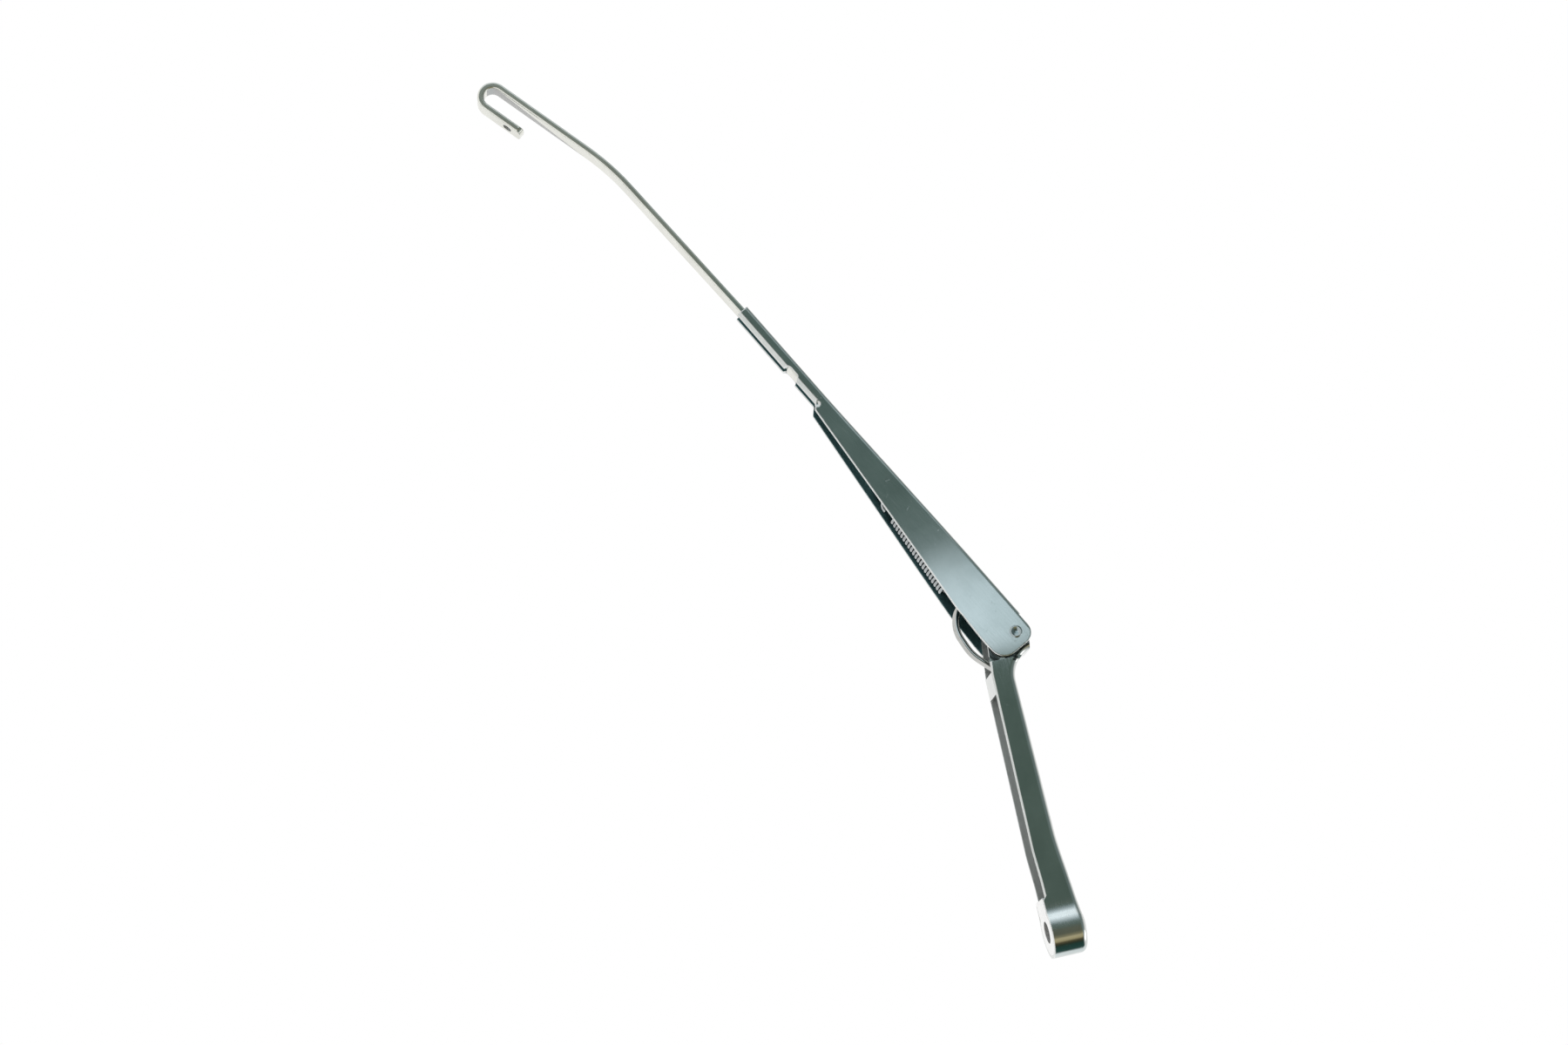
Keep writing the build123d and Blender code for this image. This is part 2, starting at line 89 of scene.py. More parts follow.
def drawn_grain():
    """Fine lines from rolling and brushing, broad clouding of the sheet and a few rub marks."""
    group = bpy.data.node_groups.new("drawn_grain", "ShaderNodeTree")
    sockets = group.interface
    sockets.new_socket("Vector", in_out="INPUT", socket_type="NodeSocketVector")
    sockets.new_socket("Lines", in_out="INPUT", socket_type="NodeSocketFloat").default_value = 2600.0
    sockets.new_socket("Clouds", in_out="INPUT", socket_type="NodeSocketFloat").default_value = 60.0
    sockets.new_socket("Line Height", in_out="OUTPUT", socket_type="NodeSocketFloat")
    sockets.new_socket("Cloud", in_out="OUTPUT", socket_type="NodeSocketFloat")
    sockets.new_socket("Marks", in_out="OUTPUT", socket_type="NodeSocketFloat")
    made = group.nodes
    wire = group.links.new
    entry = made.new("NodeGroupInput")
    leave = made.new("NodeGroupOutput")
    stretch = made.new("ShaderNodeVectorMath")
    stretch.operation = "MULTIPLY"
    stretch.inputs[1].default_value = (0.035, 1.0, 1.0)
    wire(entry.outputs["Vector"], stretch.inputs[0])
    lines = made.new("ShaderNodeTexNoise")
    lines.inputs["Detail"].default_value = 4.0
    lines.inputs["Roughness"].default_value = 0.62
    wire(stretch.outputs[0], lines.inputs["Vector"])
    wire(entry.outputs["Lines"], lines.inputs["Scale"])
    wire(lines.outputs["Fac"], leave.inputs["Line Height"])
    clouds = made.new("ShaderNodeTexNoise")
    clouds.inputs["Detail"].default_value = 3.0
    wire(entry.outputs["Vector"], clouds.inputs["Vector"])
    wire(entry.outputs["Clouds"], clouds.inputs["Scale"])
    spread = made.new("ShaderNodeMapRange")
    spread.inputs["From Min"].default_value = 0.34
    spread.inputs["From Max"].default_value = 0.66
    wire(clouds.outputs["Fac"], spread.inputs["Value"])
    wire(spread.outputs["Result"], leave.inputs["Cloud"])
    rubs = made.new("ShaderNodeTexNoise")
    rubs.inputs["Scale"].default_value = 420.0
    rubs.inputs["Detail"].default_value = 5.0
    rubs.inputs["Distortion"].default_value = 0.6
    wire(entry.outputs["Vector"], rubs.inputs["Vector"])
    pick = made.new("ShaderNodeMapRange")
    pick.inputs["From Min"].default_value = 0.66
    pick.inputs["From Max"].default_value = 0.74
    wire(rubs.outputs["Fac"], pick.inputs["Value"])
    wire(pick.outputs["Result"], leave.inputs["Marks"])
    return group


def edge_rounding_and_highlight():
    """Tells the rolled-over edges of a piece from its faces, for a painted highlight along them, and
    gives their rounded normal.
    """
    group = bpy.data.node_groups.new("edge_rounding_and_highlight", "ShaderNodeTree")
    sockets = group.interface
    sockets.new_socket("Radius", in_out="INPUT", socket_type="NodeSocketFloat").default_value = 0.0003
    sockets.new_socket("Edge", in_out="OUTPUT", socket_type="NodeSocketFloat")
    sockets.new_socket("Normal", in_out="OUTPUT", socket_type="NodeSocketVector")
    made = group.nodes
    wire = group.links.new
    entry = made.new("NodeGroupInput")
    leave = made.new("NodeGroupOutput")
    soft = made.new("ShaderNodeBevel")
    soft.samples = 6
    wire(entry.outputs["Radius"], soft.inputs["Radius"])
    true_way = made.new("ShaderNodeNewGeometry")
    compare = made.new("ShaderNodeVectorMath")
    compare.operation = "DOT_PRODUCT"
    wire(soft.outputs["Normal"], compare.inputs[0])
    wire(true_way.outputs["Normal"], compare.inputs[1])
    spread = made.new("ShaderNodeMapRange")
    spread.inputs["From Min"].default_value = 0.995
    spread.inputs["From Max"].default_value = 0.85
    wire(compare.outputs["Value"], spread.inputs["Value"])
    wire(spread.outputs["Result"], leave.inputs["Edge"])
    wire(soft.outputs["Normal"], leave.inputs["Normal"])
    return group


grain_group = drawn_grain()
edge_group = edge_rounding_and_highlight()


def satin_steel(
    name, pale, deep, rough, turn=0.0, lines=2600.0, edge_radius=0.0005, inner=(0.6, 0.6, 0.59, 0.52)
):
    """Satin steel: base tone that clouds between two shades, grain along the piece, edges painted
    brighter as a highlight.

    Inner faces take a plain tone and roughness of their own, the four numbers of inner; the tone is a
    painted shade inside a channel.
    """
    smoother, rougher = 0.03, 0.04
    steel = bpy.data.materials.new(name)
    steel.use_nodes = True
    made = steel.node_tree.nodes
    wire = steel.node_tree.links.new
    shader = made["Principled BSDF"]
    shader.inputs["Metallic"].default_value = 1.0
    place = made.new("ShaderNodeTexCoord")
    lay = made.new("ShaderNodeMapping")
    lay.inputs["Rotation"].default_value = (0.0, turn, 0.0)
    wire(place.outputs["Object"], lay.inputs["Vector"])
    grain = made.new("ShaderNodeGroup")
    grain.node_tree = grain_group
    grain.inputs["Lines"].default_value = lines
    wire(lay.outputs["Vector"], grain.inputs["Vector"])
    edge = made.new("ShaderNodeGroup")
    edge.name = "edge"
    edge.node_tree = edge_group
    edge.inputs["Radius"].default_value = edge_radius
    shade = made.new("ShaderNodeMix")
    shade.data_type = "RGBA"
    shade.inputs["A"].default_value = (*deep, 1.0)
    shade.inputs["B"].default_value = (*pale, 1.0)
    wire(grain.outputs["Cloud"], shade.inputs["Factor"])
    # Edges are mixed towards near white: a painted highlight.
    bright = made.new("ShaderNodeMix")
    bright.data_type = "RGBA"
    bright.inputs["B"].default_value = (0.94, 0.94, 0.93, 1.0)
    wire(shade.outputs["Result"], bright.inputs["A"])
    wire(edge.outputs["Edge"], bright.inputs["Factor"])
    # Inner faces take the inner tone, a painted shade.
    inner_shade = made.new("ShaderNodeMix")
    inner_shade.name = "inner_shade"
    inner_shade.data_type = "RGBA"
    inner_shade.inputs["B"].default_value = (*inner[:3], 1.0)
    wire(bright.outputs["Result"], inner_shade.inputs["A"])
    wire(inner_shade.outputs["Result"], shader.inputs["Base Color"])
    gloss = made.new("ShaderNodeMapRange")
    gloss.inputs["From Min"].default_value = 0.3
    gloss.inputs["From Max"].default_value = 0.7
    gloss.inputs["To Min"].default_value = rough - smoother
    gloss.inputs["To Max"].default_value = rough + rougher
    wire(grain.outputs["Line Height"], gloss.inputs["Value"])
    rub = made.new("ShaderNodeMath")
    rub.operation = "MULTIPLY_ADD"
    rub.inputs[1].default_value = 0.12
    wire(grain.outputs["Marks"], rub.inputs[0])
    wire(gloss.outputs["Result"], rub.inputs[2])
    inside = made.new("ShaderNodeAttribute")
    inside.attribute_name = "inner"
    dull = made.new("ShaderNodeMix")
    dull.name = "dull"
    dull.inputs["B"].default_value = inner[3]
    wire(rub.outputs["Value"], dull.inputs["A"])
    wire(inside.outputs["Fac"], dull.inputs["Factor"])
    wire(inside.outputs["Fac"], inner_shade.inputs["Factor"])
    wire(dull.outputs["Result"], shader.inputs["Roughness"])
    bump = made.new("ShaderNodeBump")
    bump.inputs["Strength"].default_value = 0.05
    bump.inputs["Distance"].default_value = 0.00004
    wire(grain.outputs["Line Height"], bump.inputs["Height"])
    wire(edge.outputs["Normal"], bump.inputs["Normal"])
    wire(bump.outputs["Normal"], shader.inputs["Normal"])
    return steel


def paint_cheek_shade(steel, flag, hinge, reach):
    """Painted shade, near black, on the flagged faces within reach of the hinge, broken up by scuffed
    arcs about it.

    Edges are rounded less there than on the rest of the piece.
    """
    beyond, within = 0.0006, 0.0004
    made = steel.node_tree.nodes
    wire = steel.node_tree.links.new
    place = made.new("ShaderNodeTexCoord")
    shift = made.new("ShaderNodeVectorMath")
    shift.operation = "SUBTRACT"
    shift.inputs[1].default_value = hinge
    wire(place.outputs["Object"], shift.inputs[0])
    flat = made.new("ShaderNodeVectorMath")
    flat.operation = "MULTIPLY"
    flat.inputs[1].default_value = (1.0, 0.0, 1.0)
    wire(shift.outputs[0], flat.inputs[0])
    far = made.new("ShaderNodeVectorMath")
    far.operation = "LENGTH"
    wire(flat.outputs[0], far.inputs[0])
    swept = made.new("ShaderNodeMapRange")
    swept.interpolation_type = "SMOOTHSTEP"
    swept.inputs["From Min"].default_value = reach + beyond
    swept.inputs["From Max"].default_value = reach - within
    wire(far.outputs["Value"], swept.inputs["Value"])
    along = made.new("ShaderNodeSeparateXYZ")
    wire(shift.outputs[0], along.inputs["Vector"])
    bend = made.new("ShaderNodeMath")
    bend.operation = "ARCTAN2"
    wire(along.outputs["Z"], bend.inputs[0])
    wire(along.outputs["X"], bend.inputs[1])
    drift = made.new("ShaderNodeMath")
    drift.operation = "MULTIPLY"
    drift.inputs[1].default_value = 0.0012
    wire(bend.outputs["Value"], drift.inputs[0])
    arc = made.new("ShaderNodeCombineXYZ")
    wire(far.outputs["Value"], arc.inputs["X"])
    wire(drift.outputs["Value"], arc.inputs["Y"])
    streaks = made.new("ShaderNodeTexNoise")
    streaks.inputs["Scale"].default_value = 1500.0
    streaks.inputs["Detail"].default_value = 4.0
    streaks.inputs["Roughness"].default_value = 0.6
    wire(arc.outputs["Vector"], streaks.inputs["Vector"])
    scuff = made.new("ShaderNodeMapRange")
    scuff.inputs["From Min"].default_value = 0.44
    scuff.inputs["From Max"].default_value = 0.72
    scuff.inputs["To Min"].default_value = 0.98
    scuff.inputs["To Max"].default_value = 0.55
    wire(streaks.outputs["Fac"], scuff.inputs["Value"])
    flagged = made.new("ShaderNodeAttribute")
    flagged.attribute_name = flag
    covered = made.new("ShaderNodeMath")
    covered.operation = "MULTIPLY"
    wire(swept.outputs["Result"], covered.inputs[0])
    wire(flagged.outputs["Fac"], covered.inputs[1])
    shade_share = made.new("ShaderNodeMath")
    shade_share.operation = "MULTIPLY"
    wire(covered.outputs["Value"], shade_share.inputs[0])
    wire(scuff.outputs["Result"], shade_share.inputs[1])
    # Near-black painted shade, mixed in where the cheek covers the ear.
    coat = made.new("ShaderNodeMix")
    coat.data_type = "RGBA"
    coat.inputs["B"].default_value = (0.034, 0.040, 0.040, 1.0)
    wire(made["inner_shade"].outputs["Result"], coat.inputs["A"])
    wire(shade_share.outputs["Value"], coat.inputs["Factor"])
    wire(coat.outputs["Result"], made["Principled BSDF"].inputs["Base Color"])
    fold = made.new("ShaderNodeMapRange")
    fold.inputs["From Min"].default_value = -0.0130
    fold.inputs["From Max"].default_value = -0.0115
    fold.inputs["To Min"].default_value = 0.0007
    fold.inputs["To Max"].default_value = 0.00005
    wire(along.outputs["X"], fold.inputs["Value"])
    wire(fold.outputs["Result"], made["edge"].inputs["Radius"])


def drawn_zone(steel, first, last, more):
    """Duller skin where the sheet was stretched, between two places along the piece."""
    lead_in, run_out = 0.004, 0.005
    made = steel.node_tree.nodes
    wire = steel.node_tree.links.new
    place = made.new("ShaderNodeTexCoord")
    along = made.new("ShaderNodeSeparateXYZ")
    wire(place.outputs["Object"], along.inputs["Vector"])
    rise = made.new("ShaderNodeMapRange")
    rise.interpolation_type = "SMOOTHSTEP"
    rise.inputs["From Min"].default_value = first - lead_in
    rise.inputs["From Max"].default_value = first
    wire(along.outputs["X"], rise.inputs["Value"])
    fall = made.new("ShaderNodeMapRange")
    fall.interpolation_type = "SMOOTHSTEP"
    fall.inputs["From Min"].default_value = last + run_out
    fall.inputs["From Max"].default_value = last
    wire(along.outputs["X"], fall.inputs["Value"])
    zone = made.new("ShaderNodeMath")
    zone.operation = "MULTIPLY"
    wire(rise.outputs["Result"], zone.inputs[0])
    wire(fall.outputs["Result"], zone.inputs[1])
    skin = made.new("ShaderNodeMath")
    skin.operation = "MULTIPLY_ADD"
    skin.inputs[1].default_value = more
    wire(zone.outputs["Value"], skin.inputs[0])
    wire(made["dull"].outputs["Result"], skin.inputs[2])
    wire(skin.outputs["Value"], made["Principled BSDF"].inputs["Roughness"])


hinge_middle = (0.13535, 0.0, 0.0182)
cheek_shade_reach = 0.0170
ear_start = 0.1243
ear_near, ear_far = 0.0086, 0.0089
step_start, step_finish = 0.1226, 0.1250
step_near, step_far = 0.0086, 0.0097
flat_tilt = 0.95
steep_tilt, low_tilt = 0.2, 0.995
# The head's inner faces are painted darker than its outside, a painted shade.
head_steel = satin_steel(
    "head_steel", (0.71, 0.72, 0.70), (0.61, 0.63, 0.61), 0.11, inner=(0.56, 0.58, 0.57, 0.46)
)
# The ear and step faces under the cheek get a painted shade near the hinge.
paint_cheek_shade(head_steel, "cheek_shaded", hinge_middle, cheek_shade_reach)
drawn_zone(head_steel, first=0.001, last=0.009, more=0.15)
head_shell = pressed_copy("mounting_head", "head_shell", 28.0)
# Flags the ear faces and the step faces that the painted shade covers.
cheek_shaded = head_shell.data.attributes.new("cheek_shaded", "FLOAT", "FACE")
for face in head_shell.data.polygons:
    along, aside, tilt = face.center.x, abs(face.center.y), abs(face.normal.y)
    on_ear = along > ear_start and ear_near < aside < ear_far and tilt > flat_tilt
    by_step = step_start < along < step_finish and step_near < aside < step_far
    on_step = by_step and steep_tilt < tilt < low_tilt
    cheek_shaded.data[face.index].value = 1.0 if on_ear or on_step else 0.0
head_shell.data.materials.append(head_steel)
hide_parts("mounting_head")
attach(head_shell, "head")

# Spindle insert: turned steel collar set into the round end and staked over its top, bored for the
# spindle. Its turned faces are left bright.
insert_steel = satin_steel(
    "insert_steel", (0.94, 0.94, 0.93), (0.88, 0.88, 0.87), 0.22, lines=900.0
)
insert_body = pressed_copy("spindle_insert", "insert_body", 28.0)
insert_body.data.materials.append(insert_steel)
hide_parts("spindle_insert")
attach(insert_body, "head")

# Link pin: plain length of round steel, pressed through both walls of the neck. It has no heads;
# the spring link hooks round its middle and pulls on it.
pin_steel = satin_steel(
    "pin_steel", (0.64, 0.64, 0.62), (0.56, 0.56, 0.54), 0.18, lines=1500.0, edge_radius=0.0001
)
pin_body = pressed_copy("link_pin", "pin_body", 28.0)
pin_body.data.materials.append(pin_steel)
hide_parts("link_pin")
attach(pin_body, "head")

# Spring channel: long tapering channel of the same satin sheet, open below, its thin end closed
# round the bar in a crimp. The grain runs along the channel.
channel_pitch = math.radians(27.5)
# The channel's inner faces are painted dark teal, a painted shade.
channel_steel = satin_steel(
    "channel_steel", (0.71, 0.72, 0.70), (0.61, 0.63, 0.61), 0.16,
    turn=-channel_pitch, edge_radius=0.0009, inner=(0.08, 0.16, 0.17, 0.42),
)
channel_shell = pressed_copy("spring_channel", "channel_shell", 28.0)
channel_shell.data.materials.append(channel_steel)
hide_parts("spring_channel")
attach(channel_shell, "arm")

# Hinge rivet: steel rivet through the channel's cheeks and the head's ears, closed to a domed head on
# each side. It is tight in the cheeks, and the ears turn on it.
# Its tone is darker and greener than the sheet's, a painted reflection of the dim room.
rivet_steel = satin_steel(
    "rivet_steel", (0.40, 0.46, 0.47), (0.34, 0.40, 0.41), 0.15, lines=1500.0, edge_radius=0.00012
)
rivet_body = pressed_copy("hinge_rivet", "rivet_body", 32.0)
rivet_body.data.materials.append(rivet_steel)
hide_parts("hinge_rivet")
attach(rivet_body, "arm")

# Flat bar: rolled stainless flat with rounded edges, bent to the curve of the glass and turned back
# in a U-hook at its end. The crimp holds its inner end.
bar_steel = satin_steel(
    "bar_steel", (0.84, 0.84, 0.78), (0.75, 0.75, 0.69), 0.20, turn=-channel_pitch
)
bar_body = pressed_copy("arm_bar", "bar_body", 32.0)
bar_body.data.materials.append(bar_steel)
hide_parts("arm_bar")
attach(bar_body, "arm")

# Spring link: round steel wire bent to a C and hooked at both ends. One hook goes round the pin and
# the other through the spring's near loop, so that the pull passes the hinge.
link_steel = satin_steel(
    "link_steel", (0.58, 0.58, 0.56), (0.50, 0.50, 0.48), 0.09,
    turn=-channel_pitch, lines=1500.0, edge_radius=0.00005,
)
link_body = pressed_copy("spring_link", "link_body", 40.0)
link_body.data.materials.append(link_steel)
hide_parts("spring_link")
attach(link_body, "link")

# Tension spring: hard-drawn steel wire, close wound, with a plain loop at each end. One loop hangs on
# the link and the other in the slot of the bar's tang.
spring_steel = satin_steel(
    "spring_steel", (0.48, 0.50, 0.505), (0.38, 0.395, 0.40), 0.12,
    turn=-channel_pitch, lines=1500.0, edge_radius=0.00005,
)
wire_radius = 0.0008
wire_sides = 14
coil_radius = 0.0040
coil_turns = 21
spare_turn = 0.25
steps_a_turn = 28
coil_start = 0.0416
coil_finish = 0.0826
near_bow = 0.029183
far_bow = 0.0932
near_sweep = range(-70, 71, 10)
far_sweep = range(75, -106, -10)
pin_place = Vector((0.12385, 0.0, 0.0093))
spring_way = Vector((0.93712, 0.0, -0.34906)).normalized()
spring_up = Vector((-spring_way.z, 0.0, spring_way.x))


def along_spring(along, side, up):
    """A point given along the line from pin to tang, across it and above it."""
    return pin_place + spring_way * along + Vector((0.0, 1.0, 0.0)) * side + spring_up * up


wire_line = []
for angle in near_sweep:
    turn = math.radians(angle)
    along = near_bow + coil_radius - coil_radius * math.cos(turn)
    wire_line.append(along_spring(along, coil_radius * math.sin(turn), 0.0))
wire_line.append(along_spring(near_bow + coil_radius * 1.3, coil_radius, -0.05 * coil_radius))
wire_line.append(along_spring(coil_start - 0.3 * coil_radius, coil_radius, -0.18 * coil_radius))
for step in range(int((coil_turns + spare_turn) * steps_a_turn) + 1):
    turn = 2 * math.pi * step / steps_a_turn
    along = coil_start + (coil_finish - coil_start) * step / (steps_a_turn * coil_turns)
    wire_line.append(along_spring(along, coil_radius * math.cos(turn), coil_radius * math.sin(turn)))
for angle in far_sweep:
    turn = math.radians(angle)
    along = far_bow - coil_radius + coil_radius * math.cos(turn)
    wire_line.append(along_spring(along, 0.0, coil_radius * math.sin(turn)))
spring_curve = bpy.data.curves.new("spring_line", "CURVE")
spring_curve.dimensions = "3D"
spring_run = spring_curve.splines.new("POLY")
spring_run.points.add(len(wire_line) - 1)
for place, point in zip(wire_line, spring_run.points):
    point.co = (*place, 1.0)
spring_guide = bpy.data.objects.new("spring_guide", spring_curve)
bpy.context.scene.collection.objects.link(spring_guide)


def wire_tree():
    """Round wire of a given radius laid along a line, closed at its cut ends."""
    tree = bpy.data.node_groups.new("wire_along_line", "GeometryNodeTree")
    sockets = tree.interface
    sockets.new_socket("Geometry", in_out="INPUT", socket_type="NodeSocketGeometry")
    sockets.new_socket("Wire Radius", in_out="INPUT", socket_type="NodeSocketFloat")
    sockets.new_socket("Sides", in_out="INPUT", socket_type="NodeSocketInt")
    sockets.new_socket("Finish", in_out="INPUT", socket_type="NodeSocketMaterial")
    sockets.new_socket("Geometry", in_out="OUTPUT", socket_type="NodeSocketGeometry")
    made = tree.nodes
    wire = tree.links.new
    entry = made.new("NodeGroupInput")
    leave = made.new("NodeGroupOutput")
    ring = made.new("GeometryNodeCurvePrimitiveCircle")
    wire(entry.outputs["Sides"], ring.inputs["Resolution"])
    wire(entry.outputs["Wire Radius"], ring.inputs["Radius"])
    skin = made.new("GeometryNodeCurveToMesh")
    skin.inputs["Fill Caps"].default_value = True
    wire(entry.outputs["Geometry"], skin.inputs["Curve"])
    wire(ring.outputs["Curve"], skin.inputs["Profile Curve"])
    smooth = made.new("GeometryNodeSetShadeSmooth")
    wire(skin.outputs["Mesh"], smooth.inputs["Geometry"])
    coat = made.new("GeometryNodeSetMaterial")
    wire(smooth.outputs["Geometry"], coat.inputs["Geometry"])
    wire(entry.outputs["Finish"], coat.inputs["Material"])
    wire(coat.outputs["Geometry"], leave.inputs["Geometry"])
    return tree


wire_maker = wire_tree()
wire_sockets = {
    item.name: item.identifier
    for item in wire_maker.interface.items_tree
    if item.in_out == "INPUT"
}
wound = spring_guide.modifiers.new("wire", "NODES")
wound.node_group = wire_maker
wound[wire_sockets["Wire Radius"]] = wire_radius
wound[wire_sockets["Sides"]] = wire_sides
wound[wire_sockets["Finish"]] = spring_steel
bpy.context.view_layer.update()
seen = spring_guide.evaluated_get(bpy.context.evaluated_depsgraph_get())
spring_mesh = bpy.data.meshes.new_from_object(seen)
bpy.data.objects.remove(spring_guide)
spring_body = bpy.data.objects.new("spring_body", spring_mesh)
bpy.context.scene.collection.objects.link(spring_body)
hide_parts("tension_spring")
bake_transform(spring_body)

# Stage: pale floor well below the arm that fades into the room at its rim, a white wall behind the
# arm and a dim room before it, as the polished sheet reflects them. A row of soft cards before the
# hinge gives the channel its pale sheen.
floor_middle = (0.25, 0.0, -0.62)
floor_half = 0.62
ground_tone = (0.95, 0.95, 0.95, 1.0)
white = (1.0, 1.0, 1.0)
floor_mesh = bpy.data.meshes.new("floor")
work = bmesh.new()
bmesh.ops.create_grid(
    work, x_segments=1, y_segments=1, size=floor_half, matrix=Matrix.Translation(floor_middle)
)
work.to_mesh(floor_mesh)
work.free()
floor = bpy.data.objects.new("floor", floor_mesh)
bpy.context.scene.collection.objects.link(floor)
floor_paint = bpy.data.materials.new("floor_paint")
floor_paint.use_nodes = True
made = floor_paint.node_tree.nodes
wire = floor_paint.node_tree.links.new
made["Principled BSDF"].inputs["Base Color"].default_value = (0.88, 0.88, 0.88, 1.0)
made["Principled BSDF"].inputs["Roughness"].default_value = 0.7
spot = made.new("ShaderNodeTexCoord")
away = made.new("ShaderNodeVectorMath")
away.operation = "DISTANCE"
away.inputs[1].default_value = floor_middle
wire(spot.outputs["Object"], away.inputs[0])
rim = made.new("ShaderNodeMapRange")
rim.interpolation_type = "SMOOTHSTEP"
rim.inputs["From Min"].default_value = 0.20
rim.inputs["From Max"].default_value = 0.58
wire(away.outputs["Value"], rim.inputs["Value"])
ray = made.new("ShaderNodeLightPath")
mirrored = made.new("ShaderNodeMath")
mirrored.operation = "MAXIMUM"
wire(ray.outputs["Is Glossy Ray"], mirrored.inputs[0])
wire(ray.outputs["Is Transmission Ray"], mirrored.inputs[1])
looked = made.new("ShaderNodeMath")
looked.operation = "MAXIMUM"
wire(ray.outputs["Is Camera Ray"], looked.inputs[0])
wire(mirrored.outputs["Value"], looked.inputs[1])
fade = made.new("ShaderNodeMath")
fade.operation = "MULTIPLY"
wire(looked.outputs["Value"], fade.inputs[0])
wire(rim.outputs["Result"], fade.inputs[1])
paper = made.new("ShaderNodeEmission")
paper.inputs["Color"].default_value = ground_tone
paper.inputs["Strength"].default_value = 1.0
sweep = made.new("ShaderNodeMixShader")
wire(fade.outputs["Value"], sweep.inputs["Fac"])
wire(made["Principled BSDF"].outputs["BSDF"], sweep.inputs[1])
wire(paper.outputs["Emission"], sweep.inputs[2])
below = made.new("ShaderNodeNewGeometry")
clear = made.new("ShaderNodeBsdfTransparent")
one_sided = made.new("ShaderNodeMixShader")
wire(below.outputs["Backfacing"], one_sided.inputs["Fac"])
wire(sweep.outputs["Shader"], one_sided.inputs[1])
wire(clear.outputs["BSDF"], one_sided.inputs[2])
wire(one_sided.outputs["Shader"], made["Material Output"].inputs["Surface"])
floor.data.materials.append(floor_paint)

room = bpy.data.worlds.new("room")
bpy.context.scene.world = room
room.use_nodes = True
made = room.node_tree.nodes
wire = room.node_tree.links.new
made.clear()
way = made.new("ShaderNodeTexCoord")
parts = made.new("ShaderNodeSeparateXYZ")
wire(way.outputs["Generated"], parts.inputs["Vector"])
back = made.new("ShaderNodeMath")
back.operation = "MULTIPLY"
back.inputs[1].default_value = -1.0
wire(parts.outputs["X"], back.inputs[0])
bearing = made.new("ShaderNodeMath")
bearing.operation = "ARCTAN2"
wire(back.outputs["Value"], bearing.inputs[0])
wire(parts.outputs["Y"], bearing.inputs[1])
share = made.new("ShaderNodeMath")
share.operation = "MULTIPLY_ADD"
share.inputs[1].default_value = 1.0 / (2.0 * math.pi)
share.inputs[2].default_value = 0.5
wire(bearing.outputs["Value"], share.inputs[0])
walls = made.new("ShaderNodeValToRGB")
walls.color_ramp.interpolation = "EASE"
# Colours of the walls by bearing, in degrees from the photo's side round towards the spindle.
wall_stops = (
    (-180, white),
    (-150, white),
    (-124, (0.44, 0.47, 0.48)),
    (-100, (0.30, 0.33, 0.34)),
    (-80, (0.82, 0.87, 0.90)),
    (-60, (0.88, 0.95, 0.98)),
    (-41, (0.76, 0.87, 0.93)),
    (-30, (0.40, 0.50, 0.54)),
    (-23, (0.098, 0.152, 0.142)),
    (-6, (0.095, 0.138, 0.120)),
    (6, (0.120, 0.135, 0.105)),
    (24, (0.125, 0.135, 0.100)),
    (35, (0.22, 0.21, 0.135)),
    (45, (0.52, 0.46, 0.28)),
    (53, (0.46, 0.40, 0.23)),
    (64, (0.085, 0.075, 0.04)),
    (74, (0.03, 0.045, 0.03)),
    (84, (0.02, 0.06, 0.05)),
    (110, (0.03, 0.08, 0.07)),
    (126, (0.90, 0.97, 1.0)),
    (180, white),
)
ramp = walls.color_ramp.elements
while len(ramp) > 1:
    ramp.remove(ramp[-1])
ramp[0].position = 0.0
ramp[0].color = (*wall_stops[0][1], 1.0)
for degrees, tint in wall_stops[1:]:
    stop = ramp.new(degrees / 360.0 + 0.5)
    stop.color = (*tint, 1.0)
wire(share.outputs["Value"], walls.inputs["Fac"])
lean = made.new("ShaderNodeMath")
lean.operation = "MULTIPLY_ADD"
lean.inputs[1].default_value = 0.5
wire(parts.outputs["X"], lean.inputs[0])
wire(parts.outputs["Y"], lean.inputs[2])
slope = made.new("ShaderNodeMapRange")
slope.interpolation_type = "SMOOTHSTEP"
slope.inputs["From Min"].default_value = 0.45
slope.inputs["From Max"].default_value = -0.50
wire(lean.outputs["Value"], slope.inputs["Value"])
roof = made.new("ShaderNodeMix")
roof.data_type = "RGBA"
roof.inputs["A"].default_value = (0.165, 0.215, 0.210, 1.0)
roof.inputs["B"].default_value = (*white, 1.0)
wire(slope.outputs["Result"], roof.inputs["Factor"])
height = made.new("ShaderNodeMapRange")
height.interpolation_type = "SMOOTHSTEP"
height.inputs["From Min"].default_value = 0.40
height.inputs["From Max"].default_value = 0.72
wire(parts.outputs["Z"], height.inputs["Value"])
ceiling = made.new("ShaderNodeMix")
ceiling.data_type = "RGBA"
wire(walls.outputs["Color"], ceiling.inputs["A"])
wire(roof.outputs["Result"], ceiling.inputs["B"])
wire(height.outputs["Result"], ceiling.inputs["Factor"])
depth = made.new("ShaderNodeMapRange")
depth.interpolation_type = "SMOOTHSTEP"
depth.inputs["From Min"].default_value = -0.12
depth.inputs["From Max"].default_value = -0.34
wire(parts.outputs["Z"], depth.inputs["Value"])
ground = made.new("ShaderNodeMix")
ground.data_type = "RGBA"
ground.inputs["B"].default_value = ground_tone
wire(ceiling.outputs["Result"], ground.inputs["A"])
wire(depth.outputs["Result"], ground.inputs["Factor"])
glow = made.new("ShaderNodeBackground")
wire(ground.outputs["Result"], glow.inputs["Color"])
sky = made.new("ShaderNodeOutputWorld")
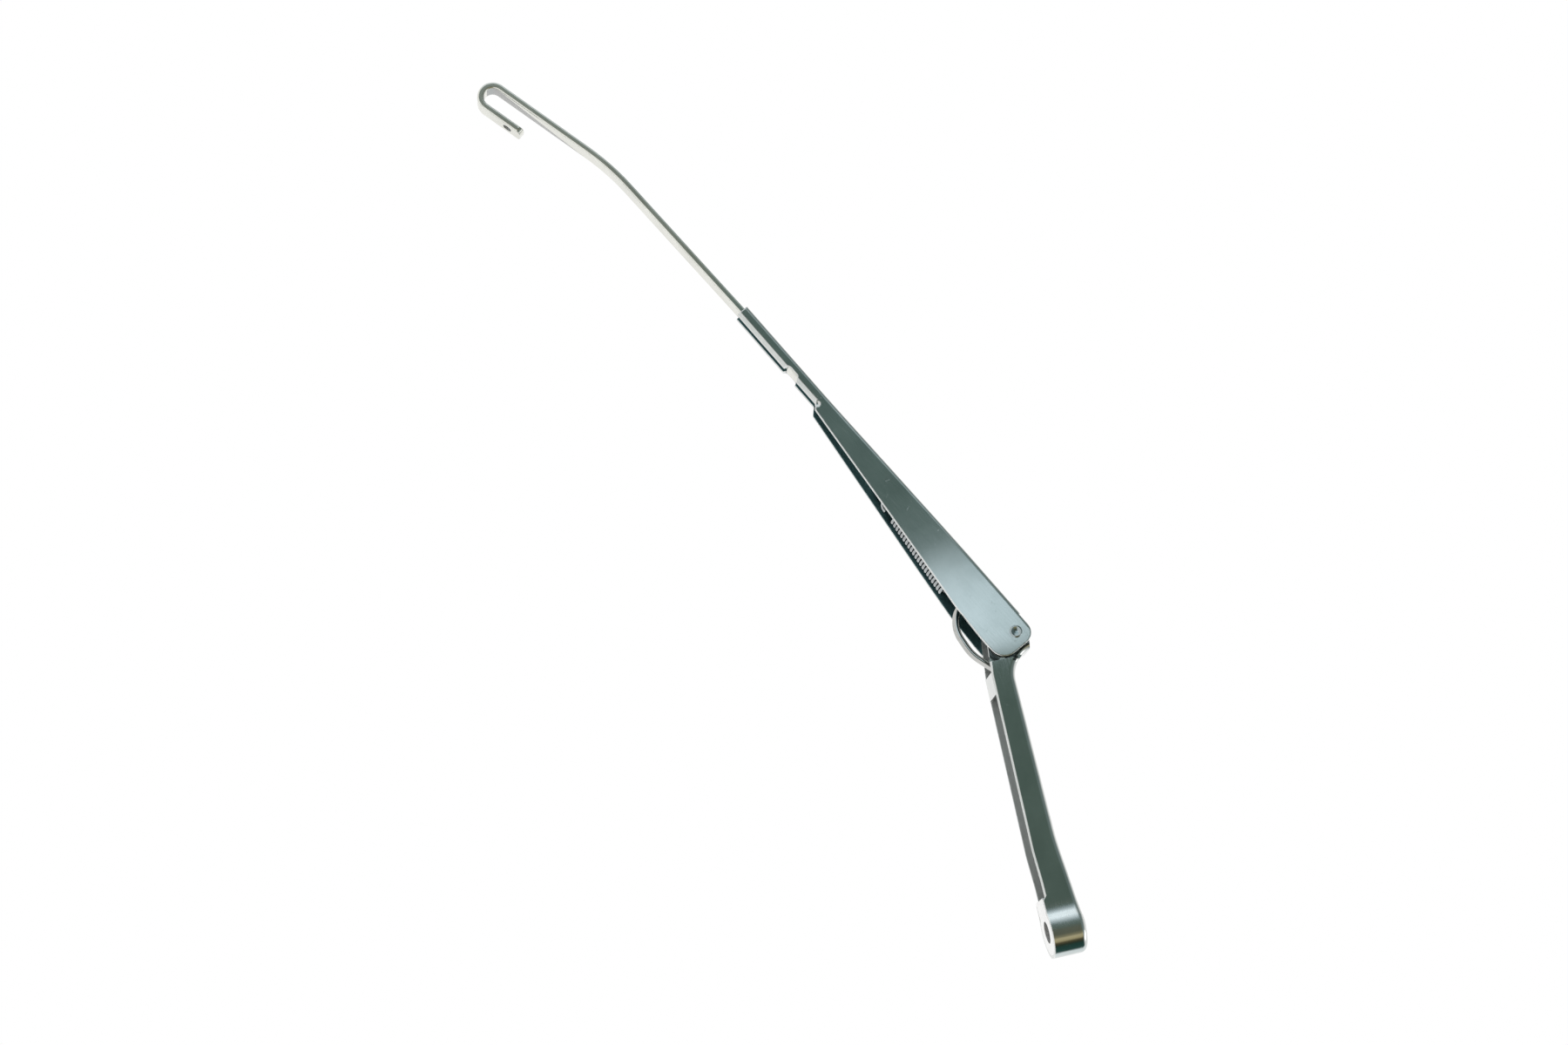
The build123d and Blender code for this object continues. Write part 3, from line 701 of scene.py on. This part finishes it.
wire(glow.outputs["Background"], sky.inputs["Surface"])


def soft_lamp(name, place, aim, size, power, tint, mirrored=True):
    """Flat soft lamp that faces a point; one that isn't mirrored lights only the floor."""
    lamp = bpy.data.lights.new(name, "AREA")
    lamp.shape = "RECTANGLE"
    lamp.size, lamp.size_y = size
    lamp.energy = power
    lamp.color = tint
    stand = bpy.data.objects.new(name, lamp)
    stand.location = place
    way = Vector(aim) - Vector(place)
    stand.rotation_euler = way.to_track_quat("-Z", "Y").to_euler()
    stand.visible_camera = False
    stand.visible_glossy = mirrored
    bpy.context.scene.collection.objects.link(stand)


# Each card's start and finish along the arm, and its level; together they fade towards the hook.
cards = (
    (0.153, 0.184, 0.90), (0.184, 0.193, 0.77), (0.193, 0.203, 0.62), (0.203, 0.212, 0.44),
    (0.212, 0.221, 0.23), (0.221, 0.232, 0.105), (0.232, 0.246, 0.045),
)
card_distance = 0.15
card_middle = 0.012
card_depth = 0.10
card_tint = (0.75, 0.885, 0.99)
for number, (start, finish, level) in enumerate(cards):
    middle = (start + finish) / 2
    power = level * math.pi * (finish - start) * card_depth
    soft_lamp(
        f"hinge_card_{number}", (middle, card_distance, card_middle), (middle, 0.0, card_middle),
        (finish - start, card_depth), power, card_tint,
    )
bar_card_side = 0.22
bar_card_level = 0.065
soft_lamp(
    "bar_card", (0.48, card_distance, -0.10), (0.48, 0.0, -0.10), (bar_card_side, bar_card_side),
    bar_card_level * math.pi * bar_card_side * bar_card_side, (1.0, 0.62, 0.45),
)
soft_lamp("end_lamp", (-0.60, 0.0, 1.10), (0.15, 0.0, 0.0), (0.6, 0.6), 1.4, white)
soft_lamp(
    "top_lamp", (0.15, -0.10, 1.25), (0.2, 0.0, -0.05), (0.9, 0.9), 18.0, white, mirrored=False
)

# Camera: long lens before the arm's side and a little below it, looking slightly up. It is turned
# on its side, so that the arm stands upright in the picture.
lens = bpy.data.cameras.new("camera")
lens.sensor_fit = "HORIZONTAL"
lens.sensor_width = 36.0
lens.lens = 74.88
lens.clip_start = 0.05
camera = bpy.data.objects.new("camera", lens)
bpy.context.scene.collection.objects.link(camera)
camera_place = Vector((-0.130993, 1.445386, -0.284124))
towards = Vector((-0.22707, 0.963591, -0.141181)).normalized()
right = Vector((-0.22816, 0.088298, 0.969612))
right = (right - towards * right.dot(towards)).normalized()
above = towards.cross(right)
camera.matrix_world = Matrix((
    (right.x, above.x, towards.x, camera_place.x),
    (right.y, above.y, towards.y, camera_place.y),
    (right.z, above.z, towards.z, camera_place.z),
    (0.0, 0.0, 0.0, 1.0),
))
bpy.context.scene.camera = camera
bpy.context.scene.view_settings.view_transform = "Standard"
